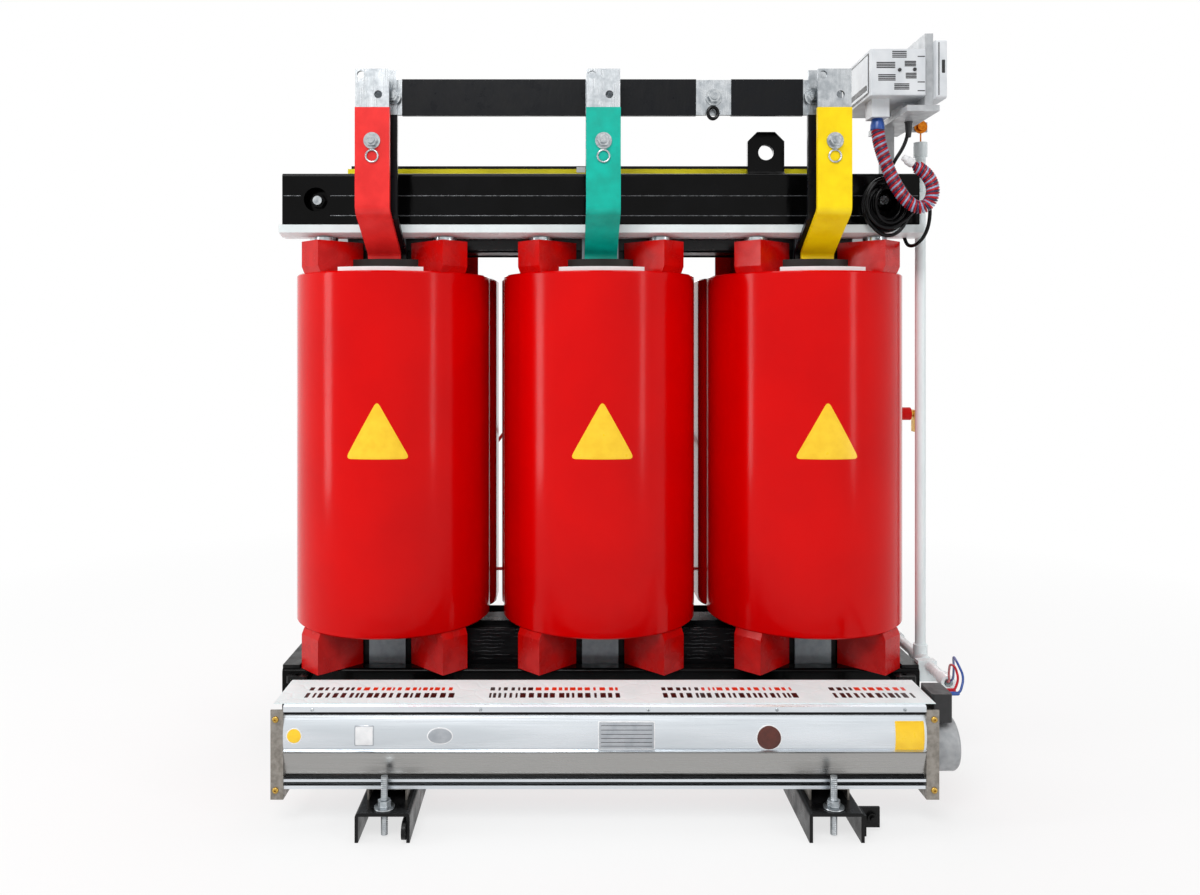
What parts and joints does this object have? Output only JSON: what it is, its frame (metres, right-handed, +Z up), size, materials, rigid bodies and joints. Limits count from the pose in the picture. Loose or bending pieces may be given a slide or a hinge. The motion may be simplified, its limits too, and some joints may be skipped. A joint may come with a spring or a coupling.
{
  "type": "dry type transformer",
  "caption": "Three-phase cast-resin dry type transformer on steel base rails, with low-voltage busbars, a cross-flow cooling fan, a conduit and a temperature controller.",
  "frame": {"origin": "on the floor, under the axis of the middle coil", "axes": "+X along the row of coils towards the controller, +Y from the low-voltage front to the high-voltage back, +Z up"},
  "size_m": [1.217, 0.882, 1.243],
  "materials": {
    "base_black": "satin black paint",
    "board_yellow": "yellow board",
    "brass": "plain",
    "cable_black": "matt",
    "clamp_black": "gloss black paint",
    "controller_grey": "moulded",
    "copper_sleeved": "sleeved copper",
    "cord_red": "coiled leads",
    "core_black": "gloss black coating",
    "fan_aluminium": "extruded",
    "fan_grey": "grey coating",
    "film_white": "film strip",
    "guard_white": "white strip",
    "lead_red": "insulated wire",
    "lv_resin": "resin foil coil",
    "motor_grey": "cast",
    "mount_white": "powder coat",
    "plastic_black": "moulded",
    "pvc_white": "moulded",
    "rail_white": "plain mill finish",
    "resin_red": "glossy cast resin",
    "sleeve_black": "heat-shrink",
    "sleeve_green": "heat-shrink",
    "sleeve_red": "heat-shrink",
    "sleeve_yellow": "heat-shrink",
    "tin": "tinned bar",
    "zinc": "zinc plated"
  },
  "bodies": {
    "transformer": {"anchor_studs": "zinc", "bar_bolts": "zinc", "base_bolts": "zinc", "base_lugs": "base_black", "base_rail_left": "base_black", "base_rail_right": "base_black", "black_sleeves": "sleeve_black", "cable_hank": "cable_black", "cable_rings": "zinc", "cable_runs": "cable_black", "clamp_studs": "zinc", "coil_guards": "guard_white", "conduit": "pvc_white", "controller_bezel": "controller_grey", "controller_body": "controller_grey", "controller_mount": "mount_white", "core_leg_left": "core_black", "core_leg_middle": "core_black", "core_leg_right": "core_black", "core_yoke_bottom": "core_black", "core_yoke_top": "core_black", "delta_links": "copper_sleeved", "end_plates": "base_black", "fan_ends": "fan_grey", "fan_film": "film_white", "fan_housing": "fan_aluminium", "fan_leads": "lead_red", "fan_motor": "motor_grey", "fan_terminal_box": "plastic_black", "hv_coil_left": "resin_red", "hv_coil_middle": "resin_red", "hv_coil_right": "resin_red", "hv_studs": "brass", "lifting_lugs": "clamp_black", "lower_clamp_front": "clamp_black", "lower_clamp_rear": "clamp_black", "lv_coil_left": "lv_resin", "lv_coil_middle": "lv_resin", "lv_coil_right": "lv_resin", "neutral_bar": "tin", "phase_bar_left": "tin", "phase_bar_middle": "tin", "phase_bar_right": "tin", "phase_sleeve_left": "sleeve_red", "phase_sleeve_middle": "sleeve_green", "phase_sleeve_right": "sleeve_yellow", "press_screws": "zinc", "pressure_rail_front": "rail_white", "pressure_rail_rear": "rail_white", "ring_lug": "zinc", "riser_bars": "tin", "sensor_cord": "cord_red", "standoffs": "resin_red", "support_blocks_lower": "resin_red", "support_blocks_upper": "resin_red", "tie_plates": "zinc", "upper_clamp_front": "clamp_black", "upper_clamp_rear": "clamp_black", "yoke_boards": "board_yellow"},
    "fan_rotor": {"fan_wheel": "fan_aluminium"}
  },
  "joints": [
    {"name": "fan_spin", "type": "hinge", "parent": "transformer", "child": "fan_rotor", "pos_m": [0, -0.34, 0.108], "axis": [1, 0, 0], "continuous": true}
  ]
}
